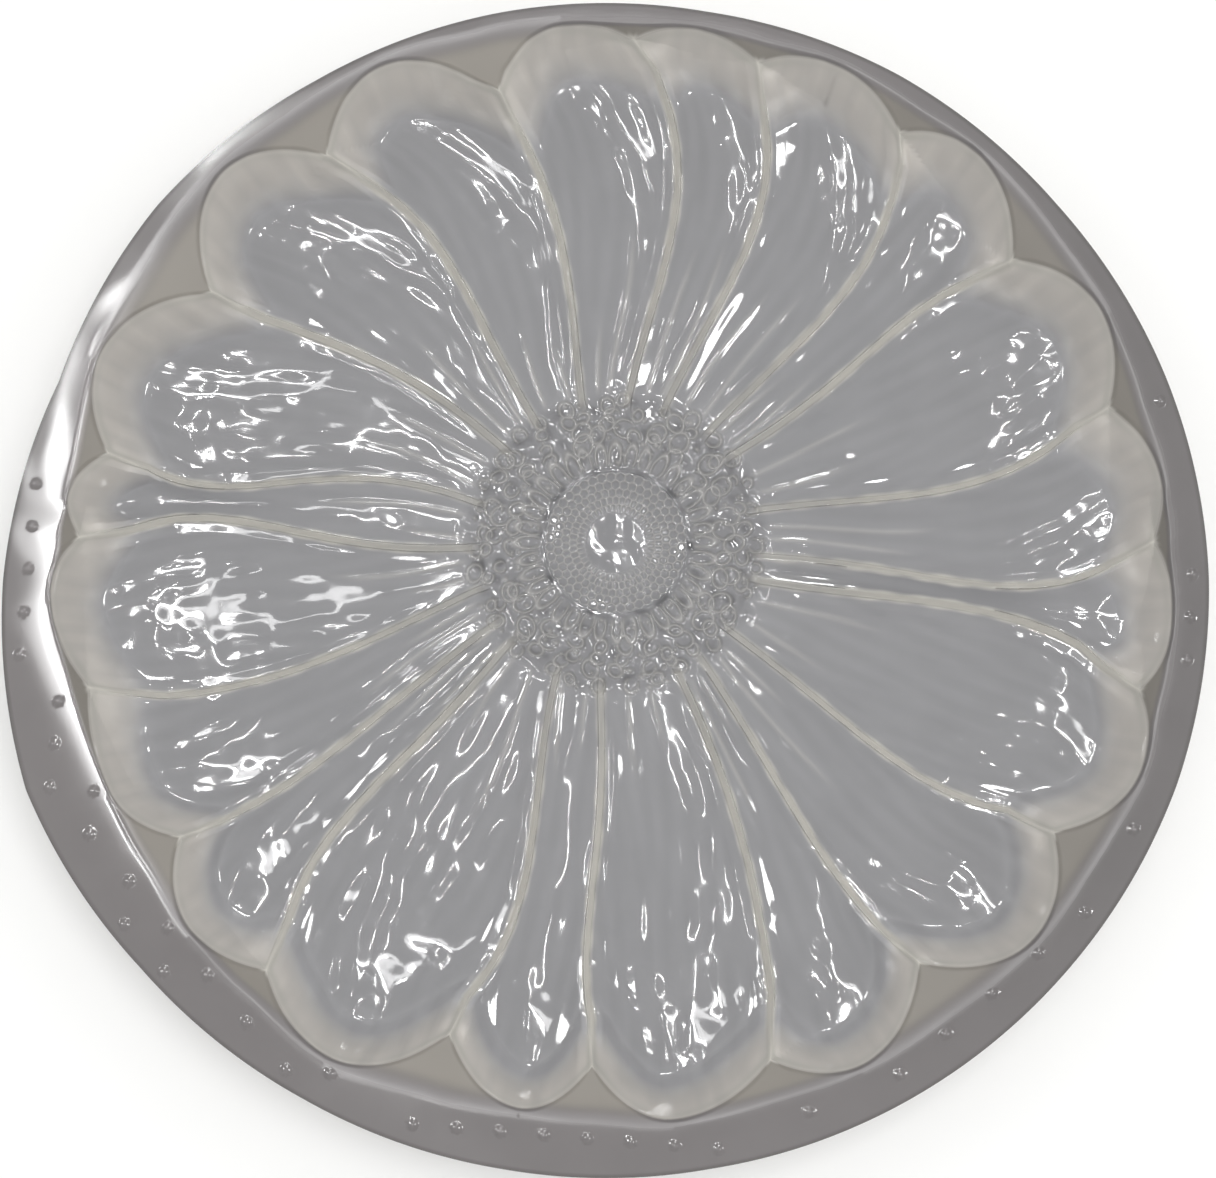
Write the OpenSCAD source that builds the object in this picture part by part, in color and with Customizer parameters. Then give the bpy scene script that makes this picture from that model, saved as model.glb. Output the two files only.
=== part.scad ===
// Daisy casting mould: one thermoformed sheet of clear plastic, cavity side up.
// The sheet stands on the undersides of its deepest petals, and z = 0 is the surface it stands on.
// x and y are zero at the middle of the trimmed flange.
// Each node is one region of the same continuous sheet, and neighbouring regions meet face to face.

/* [Sheet] */
// Thickness of the plastic sheet
sheet_t = 2; // [1.5:0.1:2.5]
// Depth of the floor below the flange at the petal tips
tip_depth = 28; // [24:1:32]
// Depth of the floor below the flange where the petals meet the florets
root_depth = 30; // [26:1:34]
// Extra depth of each petal where it is deepest
belly_depth = 3.5; // [2:0.5:6]
// Depth of the centre button below the flange
button_depth = 33; // [31:0.5:35]

/* [Petals] */
// Height of the step where one petal lies over the next
seam_step = 2.6; // [1.5:0.1:3.5]
// Width of that step, seen from above
seam_w = 1.8; // [1.4:0.1:2.4]
// How far the middle of a petal bows down below its two edges
petal_bow = 1.6; // [0.5:0.1:2.5]
// Slope of the outer wall, as the distance it runs outwards at a petal tip
wall_run = 6.5; // [5:0.5:9]
// Depth of the web below the flange where two petals meet
notch_depth = 8; // [4:0.5:12]
// How far the outer fold of a web lies inside the circle through the two petal tips
web_dip = 1; // [0.5:0.5:2]

/* [Centre] */
// Radius where the petals meet the ring of florets
root_r = 44; // [43:0.5:45]
// Radius of the centre button
button_r = 22; // [20:0.5:23]
// Depth of each floret
floret_h = 2.2; // [1:0.1:3]
// Height of the scales on the button
scale_h = 0.4; // [0.2:0.1:0.6]

/* [Flange] */
// Distance between the vacuum-hole marks
hole_pitch = 12.7; // [12:0.1:14]
// Angle of the vacuum-hole grid, in degrees
hole_turn = -4.5; // [-6:0.5:0]
// Radius of one vacuum-hole mark
pimple_r = 1.9; // [1.5:0.1:2.2]
// Height of one vacuum-hole mark
pimple_h = 0.8; // [0.5:0.1:1]

/* [Hidden] */

// Place of the flower's centre on the sheet
flower_xy = [3, 14];

// One row for each seam, going anticlockwise from the right-hand side, with the petal that follows it:
// [seam angle at each radius in seam_r,
//  1 if the petal after the seam is the upper one in the casting or -1 if the petal before it is,
//  radius and angle of the notch where the two outlines meet, angle and radius of the petal's tip]
petals = [
  [-5.5, -5.5, -6.5, -4, 1, 160.9, -0.6, 4.5, 162.6],
  [13, 10, 9.5, 14, 1, 152.9, 14.7, 24, 159.5],
  [37, 36, 37.5, 35, -1, 145.9, 35, 46.5, 157.5],
  [50, 48, 48, 53, 1, 149.6, 55, 64.5, 156],
  [70, 67, 66.5, 72, 1, 150.6, 73.4, 81, 154.3],
  [85, 81, 80, 85, 1, 151.5, 88, 96, 154.4],
  [103.5, 100.5, 101, 105.6, 1, 139.8, 105.6, 117, 157.7],
  [123.5, 121.5, 121, 127.2, 1, 144.5, 127.2, 137.5, 160.3],
  [140, 141, 145, 149, 1, 142.4, 149, 161.5, 162.9],
  [164, 165, 170.5, 171, -1, 153.9, 170.8, 176.5, 163],
  [182, 180.5, 177, 178, 1, 160.4, 180.2, 187, 168.4],
  [199, 201.5, 201.5, 199, -1, 163.4, 196.1, 207.5, 167.2],
  [214, 215.5, 216.5, 215.5, -1, 157.1, 214.8, 223.5, 170.7],
  [223.5, 225.5, 225.5, 228, 1, 165, 231.3, 241.3, 174.8],
  [246, 252, 255, 252, -1, 155.3, 251.6, 260.5, 170.5],
  [264, 266.5, 266, 267, 1, 156.7, 267.4, 275.5, 172.2],
  [295.5, 294.5, 292, 289, -1, 161.3, 286.3, 294.5, 171.4],
  [306, 304.5, 303.5, 304.5, 1, 154.9, 305.2, 315.5, 170.8],
  [322, 322, 322, 325.5, 1, 156.9, 325.7, 335, 169.6],
  [345, 348, 349.5, 347.5, -1, 162.6, 343.4, 349, 166.4],
];
seam_r = [45, 75, 110, 145];

// Radius of the hand-trimmed edge, every 20 degrees from the right-hand side
trim_r = [178, 177, 175.5, 175.5, 174, 174, 173.6, 174.8, 173, 178, 181, 177, 175, 174, 174, 175.3, 176.6, 178];
trim_step = 5;

// Places of the petal rings, as shares of the way from the root to the soft foot of the wall
petal_rings = [0, 0.07, 0.15, 0.24, 0.34, 0.45, 0.56, 0.67, 0.77, 0.86, 0.94, 1];
// Places of the rings up the wall, as shares of its run; the wall's soft foot begins at -foot_blend
wall_rings = [-0.25, 0, 0.25, 0.5, 0.75, 1];
foot_blend = 0.6;
// Places of the rings across the web and the strip of flange round the mouth
web_rings = [0.5, 1];
mouth_strip = 1.2;
// Rings of the floret region from the button outwards
floret_rings = 8;
florets_round = 28;

per_petal = 8;
count = len(petals) * per_petal;
first_petal_ring = floret_rings;
first_wall_ring = first_petal_ring + len(petal_rings) - 1;
first_web_ring = first_wall_ring + len(wall_rings);
last_ring = first_web_ring + len(web_rings);
// Share of the seam step that is left at the root, and how quickly it grows to the full step
root_step = 0.6;
step_growth = 4;
// Roundness of the petal tips
tip_power = 1.9;
// How much narrower than its mouth a petal is at the foot of the wall, as shares of the wall's run
foot_inset = 0.6;
notch_inset = 1.3;
least_web = 2;
least_run = 0.1;
// Greatest thickening of the sheet on a slope, measured straight down
steepest = 2.4;

function lerp(a, b, t) = a + (b - a) * t;
function within(t) = max(0, min(1, t));
function row(j) = petals[(j + len(petals)) % len(petals)];
function turns(j) = 360 * floor(j / len(petals));
function notch_r(j) = row(j)[5];
function notch_angle(j) = row(j)[6] + turns(j);
function tip_angle(k) = row(k)[7] + turns(k);
function tip_r(k) = row(k)[8];

// Cubic through the four stated angles of a seam, then straight on to its notch
function weight(n, r) =
  let (o = [for (m = [0:3]) if (m != n) seam_r[m]])
  (r - o[0]) * (r - o[1]) * (r - o[2]) / ((seam_r[n] - o[0]) * (seam_r[n] - o[1]) * (seam_r[n] - o[2]));
function bend(v, r) = v[0] * weight(0, r) + v[1] * weight(1, r) + v[2] * weight(2, r) + v[3] * weight(3, r);
function seam_angle(j, r) =
  let (
    inner = bend(row(j), max(seam_r[0], min(seam_r[3], r))) + turns(j),
    beyond = within((r - seam_r[3]) / max(least_run, notch_r(j) - seam_r[3]))
  )
  lerp(inner, notch_angle(j), beyond);

// Nodes are spread evenly across each petal, between the steps at its two seams
function petal_of(i) = floor(i / per_petal);
function across(i) = (i % per_petal) / (per_petal - 1);
function half_step(r) = seam_w / 2 / r * 180 / PI;
function node_angle(i, r) =
  let (k = petal_of(i), d = half_step(r))
  lerp(seam_angle(k, r) + d, seam_angle(k + 1, r) - d, across(i));

// Outline of each petal: 0 at its tip and 1 at the notch on either side of it
function crest_angle(i) = lerp(notch_angle(petal_of(i)), notch_angle(petal_of(i) + 1), across(i));
function near_notch(i) = petal_of(i) + (crest_angle(i) < tip_angle(petal_of(i)) ? 0 : 1);
function half_angle(i) = abs(notch_angle(near_notch(i)) - tip_angle(petal_of(i)));
function off_tip(i) = within(abs(crest_angle(i) - tip_angle(petal_of(i))) / half_angle(i));
function foot_off_tip(i) =
  let (half_w = half_angle(i) * PI / 180 * tip_r(petal_of(i)))
  min(1, off_tip(i) * half_w / (half_w - foot_inset * wall_run));

// Radii of the foot of the wall, of its top, and of the fold where the web meets the flange
function foot_r(i) =
  lerp(
    tip_r(petal_of(i)) - wall_run,
    notch_r(near_notch(i)) - notch_inset * wall_run,
    pow(foot_off_tip(i), tip_power)
  );
function crown_r(i) = lerp(tip_r(petal_of(i)), notch_r(near_notch(i)), pow(off_tip(i), tip_power));
function ease(t) = t * t * (3 - 2 * t);
function fold_r(i) =
  let (
    j = near_notch(i),
    between = max((tip_r(j - 1) + tip_r(j)) / 2 - web_dip, notch_r(j) + least_web)
  )
  lerp(tip_r(petal_of(i)), between, ease(off_tip(i)));
function wall_r(i, w) = lerp(foot_r(i), crown_r(i), w);

// Step of each petal edge above or below the mean floor, and the bow between its edges
function edge_before(k) = row(k)[4] > 0 ? -seam_step / 2 : seam_step / 2;
function edge_after(k) = row(k + 1)[4] < 0 ? -seam_step / 2 : seam_step / 2;
function petal_offset(i) =
  let (k = petal_of(i), u = across(i))
  lerp(edge_before(k), edge_after(k), u) - petal_bow * sin(180 * u);
// Height of the petal floor, by the share of the way from the root to the foot of the wall
function mean_floor(f) = -lerp(root_depth, tip_depth, f) - belly_depth * sin(180 * f * f);
function step_share(f) = lerp(root_step, 1, min(1, step_growth * f));
function floor_z(i, r) =
  let (f = within((r - root_r) / (foot_r(i) - root_r)))
  mean_floor(f) + petal_offset(i) * step_share(f);

// Height of the web, from the notch out to the flange
function web_z(i, r) =
  let (j = near_notch(i))
  -notch_depth * (1 - within((r - notch_r(j)) / (fold_r(i) - notch_r(j))));

// Rise of the wall, with a soft curve at its foot
function wall_rise(w) =
  let (h = within(0.5 + w / foot_blend / 2))
  w * h + foot_blend * h * (1 - h);

// The florets: rings of small pits that turn into the petal roots near the outer edge
ring_turn = -2;
pit_phase = [0, 180];
turn_share = 3;
edge_share = 8;
function even_angle(i) = (i + 0.5) * 360 / count + ring_turn;
function late(t, share) = max(0, share * t - share + 1);
function floret_node(i, g) =
  let (
    t = g / floret_rings,
    r = lerp(button_r, root_r, t),
    a = lerp(even_angle(i), node_angle(i, r), late(t, turn_share)),
    wave = cos(i * florets_round * 360 / count + pit_phase[floor(g / 2) % 2]),
    pit = (g % 2 == 1 && g < floret_rings) ? floret_h * max(0, wave) : 0
  )
  [r * cos(a), r * sin(a), -root_depth - pit + late(t, edge_share) * petal_offset(i) * root_step];
function petal_node(i, g) =
  let (
    r = lerp(root_r, wall_r(i, -foot_blend), petal_rings[g - first_petal_ring]),
    a = node_angle(i, r)
  )
  [r * cos(a), r * sin(a), floor_z(i, r)];
function wall_node(i, g) =
  let (
    w = wall_rings[g - first_wall_ring - 1],
    r = wall_r(i, w),
    a = node_angle(i, r)
  )
  [r * cos(a), r * sin(a), lerp(floor_z(i, r), web_z(i, r), wall_rise(w))];
function web_node(i, g) =
  let (
    r = lerp(crown_r(i), fold_r(i) + mouth_strip, web_rings[g - first_web_ring - 1]),
    a = node_angle(i, r)
  )
  [r * cos(a), r * sin(a), web_z(i, r)];
function top_node(i, g) =
  g < first_petal_ring ? floret_node(i, g)
  : g <= first_wall_ring ? petal_node(i, g)
  : g <= first_web_ring ? wall_node(i, g)
  : web_node(i, g);

top = [for (g = [0:last_ring]) [for (i = [0:count - 1]) top_node(i, g)]];

// The sheet keeps its thickness on a slope, so it is thicker there when measured straight down.
// A node between a gentle face and a steep one takes the gentle one, as the outside of a corner does.
function steepness(a, b) = let (n = cross(b, a)) norm(n) / abs(n[2]);
function slope(i, g) =
  let (
    p = top[g][i],
    sides = [top[g][(i + 1) % count] - p, p - top[g][(i + count - 1) % count]],
    ends = [top[g + 1][i] - p, p - top[g - 1][i]]
  )
  min(steepest, min([for (a = sides) for (b = ends) steepness(a, b)]));
function drop(i, g) = (g == 0 || g == last_ring) ? sheet_t : sheet_t * slope(i, g);
under = [for (g = [0:last_ring]) [for (i = [0:count - 1]) top[g][i] - [0, 0, drop(i, g)]]];

// Height of the flange's top face, so that the lowest petal stands on z = 0
rim_h = -min([for (g = [0:last_ring]) for (i = [0:count - 1]) under[g][i][2]]);

// Closed solid between two rings of the sheet
module sheet_region(from, to) {
  rows = to - from + 1;
  upper = [for (g = [from:to]) each top[g]];
  lower = [for (g = [from:to]) each under[g]];
  half = rows * count;
  skin = [
    for (g = [0:rows - 2]) for (i = [0:count - 1])
      let (a = g * count + i, b = g * count + (i + 1) % count, c = b + count, d = a + count)
        each [[a, b, d], [b, c, d]]
  ];
  inner = [for (i = [0:count - 1]) let (a = i, b = (i + 1) % count) each [[a, a + half, b], [b, a + half, b + half]]];
  outer = [
    for (i = [0:count - 1])
      let (a = half - count + i, b = half - count + (i + 1) % count)
        each [[a, b, a + half], [b, b + half, a + half]]
  ];
  flipped = [for (t = skin) [t[2] + half, t[1] + half, t[0] + half]];
  translate([flower_xy[0], flower_xy[1], rim_h])
    polyhedron(points = concat(upper, lower), faces = concat(skin, flipped, inner, outer));
}

// Floors of all the petals, from the floret ring to the foot of the wall
module petal_floor() {
  color([0.62, 0.64, 0.68, 0.6])
    sheet_region(first_petal_ring, first_wall_ring);
}

// Outer wall, with the webs between the petal tips
module side_wall() {
  color([0.72, 0.7, 0.66, 0.6])
    sheet_region(first_wall_ring, last_ring);
}

// Ring of small florets round the button
module floret_ring() {
  color([0.6, 0.61, 0.64, 0.6])
    sheet_region(0, first_petal_ring);
}

// Bowl of the button, with rows of small scales near its edge
button_edge_r = button_r * cos(180 / count);
button_flat_r = 7;
button_rim = 1;
scale_rows = 8;
under_rings = 6;
// How flat the bowl's middle is: a higher power leaves it flatter and steeper at the edge
bowl_power = 4;
function bowl_z(r) = -button_depth + (button_depth - root_depth) * pow(r / button_edge_r, bowl_power);
scale_w = (button_edge_r - button_rim - button_flat_r) / scale_rows;
button_top = [
  [0, bowl_z(0)],
  [button_flat_r / 2, bowl_z(button_flat_r / 2)],
  for (n = [0:scale_rows - 1]) each [
    [button_flat_r + n * scale_w, bowl_z(button_flat_r + n * scale_w)],
    [button_flat_r + (n + 0.5) * scale_w, bowl_z(button_flat_r + (n + 0.5) * scale_w) - scale_h],
  ],
  [button_edge_r - button_rim, bowl_z(button_edge_r - button_rim)],
  [button_edge_r, -root_depth],
];
button_under = [for (n = [under_rings:-1:0]) let (r = button_edge_r * n / under_rings) [r, bowl_z(r) - sheet_t]];

module centre_button() {
  color([0.6, 0.61, 0.64, 0.6])
    translate([flower_xy[0], flower_xy[1], rim_h])
      rotate_extrude($fn = 96)
        polygon(concat(button_top, button_under));
}

// Hand-trimmed outline of the flange
trim_every = 360 / len(trim_r);
function trim_radius(a) =
  let (s = a / trim_every, n = floor(s))
  lerp(trim_r[n % len(trim_r)], trim_r[(n + 1) % len(trim_r)], s - n);
trim_edge = [for (a = [0:trim_step:359]) trim_radius(a) * [cos(a), sin(a)]];
mouth_edge = [for (p = top[last_ring]) [p[0] + flower_xy[0], p[1] + flower_xy[1]]];

// Vacuum-hole marks that fall on the flange, clear of the mouth and of the trimmed edge
mouth_clear = 3;
trim_clear = 4;
pimple_ball_r = (pimple_r * pimple_r + pimple_h * pimple_h) / (2 * pimple_h);
grid_origin = [-5.3, 2.5];
grid_reach = 14;
// A mark is compared with the part of the mouth that lies within this angle of it
mouth_view = 3;
function on_flange(p) =
  let (
    a = atan2(p[1], p[0]),
    q = p - flower_xy,
    b = atan2(q[1], q[0]),
    mouth = [for (i = [0:count - 1]) if (cos(node_angle(i, fold_r(i)) - b) > cos(mouth_view)) fold_r(i)]
  )
  norm(p) < trim_radius(a < 0 ? a + 360 : a) - trim_clear && norm(q) > max(mouth) + mouth_clear;
pimples = [
  for (m = [-grid_reach:grid_reach]) for (n = [-grid_reach:grid_reach])
    let (
      u = m * hole_pitch + grid_origin[0],
      v = n * hole_pitch + grid_origin[1],
      p = [u * cos(hole_turn) - v * sin(hole_turn), u * sin(hole_turn) + v * cos(hole_turn)]
    )
    if (norm(p) > seam_r[3] && on_flange(p)) p
];

// Flat flange with the vacuum-hole marks
module rim_flange() {
  color([0.6, 0.58, 0.58, 0.6])
    translate([0, 0, rim_h])
      union() {
        translate([0, 0, -sheet_t])
          linear_extrude(sheet_t)
            difference() {
              polygon(trim_edge);
              polygon(mouth_edge);
            }
        for (p = pimples)
          translate([p[0], p[1], 0])
            pimple();
      }
}

// One raised mark: a low cap whose foot is sunk into the sheet
pimple_sink = sheet_t / 4;
module pimple() {
  intersection() {
    translate([0, 0, pimple_h - pimple_ball_r])
      sphere(r = pimple_ball_r, $fn = 48);
    translate([0, 0, -pimple_sink])
      cylinder(r = pimple_r, h = sheet_t, $fn = 48);
  }
}

rim_flange();
side_wall();
petal_floor();
floret_ring();
centre_button();
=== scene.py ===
import math

import bpy
import numpy as np
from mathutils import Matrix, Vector


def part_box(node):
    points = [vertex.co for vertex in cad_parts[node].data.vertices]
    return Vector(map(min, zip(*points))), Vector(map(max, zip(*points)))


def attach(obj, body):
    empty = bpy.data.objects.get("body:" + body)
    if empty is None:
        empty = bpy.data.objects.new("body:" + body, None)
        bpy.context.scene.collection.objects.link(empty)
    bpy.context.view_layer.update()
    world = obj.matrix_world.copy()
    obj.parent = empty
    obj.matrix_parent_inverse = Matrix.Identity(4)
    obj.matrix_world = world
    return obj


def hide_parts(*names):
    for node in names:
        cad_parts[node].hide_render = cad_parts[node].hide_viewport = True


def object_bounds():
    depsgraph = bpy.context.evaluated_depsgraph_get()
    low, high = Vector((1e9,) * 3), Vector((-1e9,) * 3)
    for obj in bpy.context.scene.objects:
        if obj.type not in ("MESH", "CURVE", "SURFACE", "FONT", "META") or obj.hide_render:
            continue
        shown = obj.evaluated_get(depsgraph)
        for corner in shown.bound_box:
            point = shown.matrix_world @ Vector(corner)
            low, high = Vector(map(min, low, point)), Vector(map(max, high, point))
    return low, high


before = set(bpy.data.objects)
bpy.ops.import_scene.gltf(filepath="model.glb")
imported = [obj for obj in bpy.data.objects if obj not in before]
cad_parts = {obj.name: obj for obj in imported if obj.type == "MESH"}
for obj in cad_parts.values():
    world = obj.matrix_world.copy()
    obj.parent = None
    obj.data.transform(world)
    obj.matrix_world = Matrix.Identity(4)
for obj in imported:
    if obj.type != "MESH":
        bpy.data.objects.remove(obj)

CAD_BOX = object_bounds()
MM = 0.001

# ---------------------------------------------------------------- the sheet's design, in mm and degrees
# The origin is the middle of the flange, and z = 0 is the surface that the mould stands on
FLOWER = np.array([3.0, 14.0])
PIMPLE_R, PIMPLE_H = 1.9, 0.8
RIM_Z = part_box("rim_flange")[1][2] / MM - PIMPLE_H
SHEET_T = 2.0
TIP_DEPTH, ROOT_DEPTH, BELLY, BUTTON_DEPTH = 28.0, 30.0, 3.5, 33.0
SEAM_STEP, SEAM_W, BOW = 2.6, 1.8, 1.6
WALL_RUN, WEB_DIP, NOTCH_DEPTH = 6.5, 1.0, 8.0
ROOT_R, BUTTON_R = 44.0, 22.0
HOLE_PITCH, HOLE_TURN, HOLE_ORIGIN = 12.7, -4.5, (-5.3, 2.5)
PIMPLE_TO_TRIM, PIMPLE_TO_MOUTH = 4, 3
# How softly the wall meets the floor and the flange, and a web the flange, as shares of their height
FOOT_ROUND, TOP_ROUND, WEB_ROUND = 0.6, 0.14, 0.2
# The flange's curl beside the mouth on the left: its width, and its slope at the mouth
CURL, CURL_SLOPE = 15.0, 0.12
CUT_DROP = 0.25
SCALES_ROUND, SCALE_PITCH, SCALE_H = 44, 2.35, 0.45
GROOVE_H, MARGIN_H, VEIN_H = 0.075, 0.34, 0.3
FLORET_H, BUMP_H = 0.95, 0.4

# One row for each seam and the petal after it: four seam angles, which petal is on top (1 the one after),
# radius and angle of the notch at the seam's end, angle and radius of the petal's tip
PETALS = np.array([
    [-5.5, -5.5, -6.5, -4, 1, 160.9, -0.6, 4.5, 162.6],
    [13, 10, 9.5, 14, 1, 152.9, 14.7, 24, 159.5],
    [37, 36, 37.5, 35, -1, 145.9, 35, 46.5, 157.5],
    [50, 48, 48, 53, 1, 149.6, 55, 64.5, 156],
    [70, 67, 66.5, 72, 1, 150.6, 73.4, 81, 154.3],
    [85, 81, 80, 85, 1, 151.5, 88, 96, 154.4],
    [103.5, 100.5, 101, 105.6, 1, 139.8, 105.6, 117, 157.7],
    [123.5, 121.5, 121, 127.2, 1, 144.5, 127.2, 137.5, 160.3],
    [140, 141, 145, 149, 1, 142.4, 149, 161.5, 162.9],
    [164, 165, 170.5, 171, -1, 153.9, 170.8, 176.5, 163],
    [182, 180.5, 177, 178, 1, 160.4, 180.2, 187, 168.4],
    [199, 201.5, 201.5, 199, -1, 163.4, 196.1, 207.5, 167.2],
    [214, 215.5, 216.5, 215.5, -1, 157.1, 214.8, 223.5, 170.7],
    [223.5, 225.5, 225.5, 228, 1, 165, 231.3, 241.3, 174.8],
    [246, 252, 255, 252, -1, 155.3, 251.6, 260.5, 170.5],
    [264, 266.5, 266, 267, 1, 156.7, 267.4, 275.5, 172.2],
    [295.5, 294.5, 292, 289, -1, 161.3, 286.3, 294.5, 171.4],
    [306, 304.5, 303.5, 304.5, 1, 154.9, 305.2, 315.5, 170.8],
    [322, 322, 322, 325.5, 1, 156.9, 325.7, 335, 169.6],
    [345, 348, 349.5, 347.5, -1, 162.6, 343.4, 349, 166.4],
])
COUNT = len(PETALS)
SEAM_R = np.array([45.0, 75.0, 110.0, 145.0])

# Radius of the hand-cut edge at every 20 degrees round the origin
TRIM_STEP = 20
TRIM_R = [
    178, 177, 175.5, 175.5, 174, 174, 173.6, 174.8, 173,
    178, 181, 177, 175, 174, 174, 175.3, 176.6, 178,
]

NOTCH_R, NOTCH_A, TIP_A, TIP_R = PETALS[:, 5], PETALS[:, 6], PETALS[:, 7], PETALS[:, 8]
# The next notch round, and each petal's height beside the seams before and after it: low where it is on top,
# because the casting will lie the other way up
NOTCH_NEXT = np.append(NOTCH_A[1:], NOTCH_A[0] + 360)
EDGE_BEFORE = np.where(PETALS[:, 4] > 0, -0.5, 0.5) * SEAM_STEP
EDGE_AFTER = np.where(np.roll(PETALS[:, 4], -1) < 0, -0.5, 0.5) * SEAM_STEP


def lerp(a, b, t):
    return a + (b - a) * t


def smooth(lo, hi, x):
    t = np.clip((x - lo) / (hi - lo), 0, 1)
    return t * t * (3 - 2 * t)


def soft_min(a, b, k):
    h = np.clip(0.5 + 0.5 * (b - a) / k, 0, 1)
    return lerp(b, a, h) - k * h * (1 - h)


def seam_angles(r):
    """Angle of every seam at each radius r, one row per seam."""
    rr = np.clip(r, SEAM_R[0], SEAM_R[3])
    line = (COUNT,) + (1,) * rr.ndim
    out = np.zeros((COUNT,) + rr.shape)
    for n in range(4):
        w = np.ones_like(rr)
        for m in range(4):
            if m != n:
                w = w * (rr - SEAM_R[m]) / (SEAM_R[n] - SEAM_R[m])
        out += PETALS[:, n].reshape(line) * w
    last = np.clip((r - SEAM_R[3]) / np.maximum(NOTCH_R.reshape(line) - SEAM_R[3], 0.1), 0, 1)
    return lerp(out, NOTCH_A.reshape(line), last)


def locate(r, a):
    """Which petal each point lies in, its share of the way across, and its distance from both seams in mm."""
    s = seam_angles(r)
    s = np.concatenate([s, s[:1] + 360])
    a = np.where(a < s[0], a + 360, a)
    a = np.where(a >= s[-1], a - 360, a)
    k = np.clip((s[:-1] <= a).sum(0) - 1, 0, COUNT - 1)
    left = np.take_along_axis(s, k[None], 0)[0]
    right = np.take_along_axis(s, k[None] + 1, 0)[0]
    arc = r * math.pi / 180
    return k, (a - left) / (right - left), (a - left) * arc, (right - a) * arc


def outline(k, u):
    """Radii for petal k at share u across it: the wall's foot, the notch, the wall's top and the mouth."""
    a = lerp(NOTCH_A[k], NOTCH_NEXT[k], u)
    before = a < TIP_A[k]
    edge = np.where(before, NOTCH_A[k], NOTCH_NEXT[k])
    half = np.abs(edge - TIP_A[k])
    t = np.abs(a - TIP_A[k]) / half
    half_mm = half * math.pi / 180 * TIP_R[k]
    t_foot = np.minimum(1, t * half_mm / (half_mm - 0.6 * WALL_RUN))
    j = np.where(before, k, (k + 1) % COUNT)
    notch = NOTCH_R[j]
    foot = lerp(TIP_R[k] - WALL_RUN, notch - 1.3 * WALL_RUN, t_foot**1.9)
    crown = lerp(TIP_R[k], notch, t**1.9)
    span = smooth(0, 1, t)
    mouth = lerp(TIP_R[k], np.maximum((TIP_R[j - 1] + TIP_R[j]) / 2 - WEB_DIP, notch + 2), span)
    return foot, notch, crown, mouth


# ---------------------------------------------------------------- surface relief
RNG = np.random.default_rng(11)


def random_waves(count, shortest, longest):
    """Directions, phases and lengths of a set of random waves."""
    turn = RNG.uniform(0, 2 * math.pi, count)
    phase = RNG.uniform(0, 2 * math.pi, count)
    return np.stack([turn, phase, RNG.uniform(shortest, longest, count)], 1)


SLOW = random_waves(14, 20, 46)
QUICK = random_waves(18, 6.5, 14)
BUMPS = random_waves(16, 4.5, 9)
GROOVES = RNG.uniform(0, 1, (COUNT, 6))
DRAWN = np.stack([
    RNG.uniform(6, 12, 9),
    RNG.uniform(26, 70, 9) * RNG.choice([-1, 1], 9),
    RNG.uniform(0, 6.3, 9),
], 1)
VEINS = np.stack([RNG.uniform(0.22, 0.42, COUNT), RNG.uniform(0.58, 0.78, COUNT)], 1)
VEIN_END = RNG.uniform(68, 105, (COUNT, 2))


def ripple(x, y, waves):
    """Random unevenness of a drawn plastic sheet, about one unit high."""
    z = np.zeros_like(x)
    for turn, phase, length in waves:
        k = 2 * math.pi / length
        z += np.sin(k * (x * math.cos(turn) + y * math.sin(turn)) + phase)
    return z / math.sqrt(len(waves))


def drawn(k, x, r):
    """Long shallow ripples that run along petal k, x mm from its middle line."""
    z = np.zeros_like(r)
    for across, along, phase in DRAWN:
        z += np.sin(2 * math.pi * (x / across + r / along) + phase + 2.4 * k)
    return z / math.sqrt(len(DRAWN) / 2)


def veins(k, u, near, far, r):
    """Thin raised lines that start at the root of each petal and fade out along it."""
    width = near + far
    out = np.zeros_like(r)
    for n in range(2):
        place = VEINS[k, n] + 0.05 * np.sin(r / 14 + 6.3 * GROOVES[k, n])
        fade = smooth(45, 50, r) * (1 - smooth(VEIN_END[k, n] - 18, VEIN_END[k, n], r)) * smooth(7, 11, width)
        out += fade * np.exp(-(((u - place) * width / 0.75) ** 2))
    return out


def bell(x, middle, width):
    """Smooth bump, one high at its middle."""
    return np.exp(-(((x - middle) / width) ** 2))


def margin(d, on_top):
    """Rolled margin of a petal d mm from a seam: full where the petal is on top, lower where it is under."""
    return np.where(on_top, bell(d, 4.2, 1.7), 0.4 * bell(d, 3, 1.6))


def petal_relief(k, u, near, far, r):
    """Fine shape of a petal: grooves and veins along it and a rolled margin beside each seam."""
    x = (u - 0.5) * (near + far)
    bend = 1.2 * np.sin(r / 18 + 6.3 * GROOVES[k, 0])
    grooves = GROOVE_H * drawn(k, x + bend, r) * smooth(46, 70, r) * smooth(1, 5, near) * smooth(1, 5, far)
    margins = margin(near, EDGE_BEFORE[k] < 0) + margin(far, EDGE_AFTER[k] < 0)
    return grooves + MARGIN_H * margins * smooth(46, 62, r) + VEIN_H * veins(k, u, near, far, r)


def petal_step(k, u, near, far):
    """Height of each petal above the mean floor: its two edge levels, its bow and the step at each seam."""
    d = SEAM_W / 2
    z = lerp(EDGE_BEFORE[k], EDGE_AFTER[k], u) - BOW * np.sin(math.pi * u)
    z = np.where(near < d, EDGE_BEFORE[k] * np.sin(math.pi / 2 * np.clip(near / d, 0, 1)), z)
    return np.where(far < d, EDGE_AFTER[k] * np.sin(math.pi / 2 * np.clip(far / d, 0, 1)), z)


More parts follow.
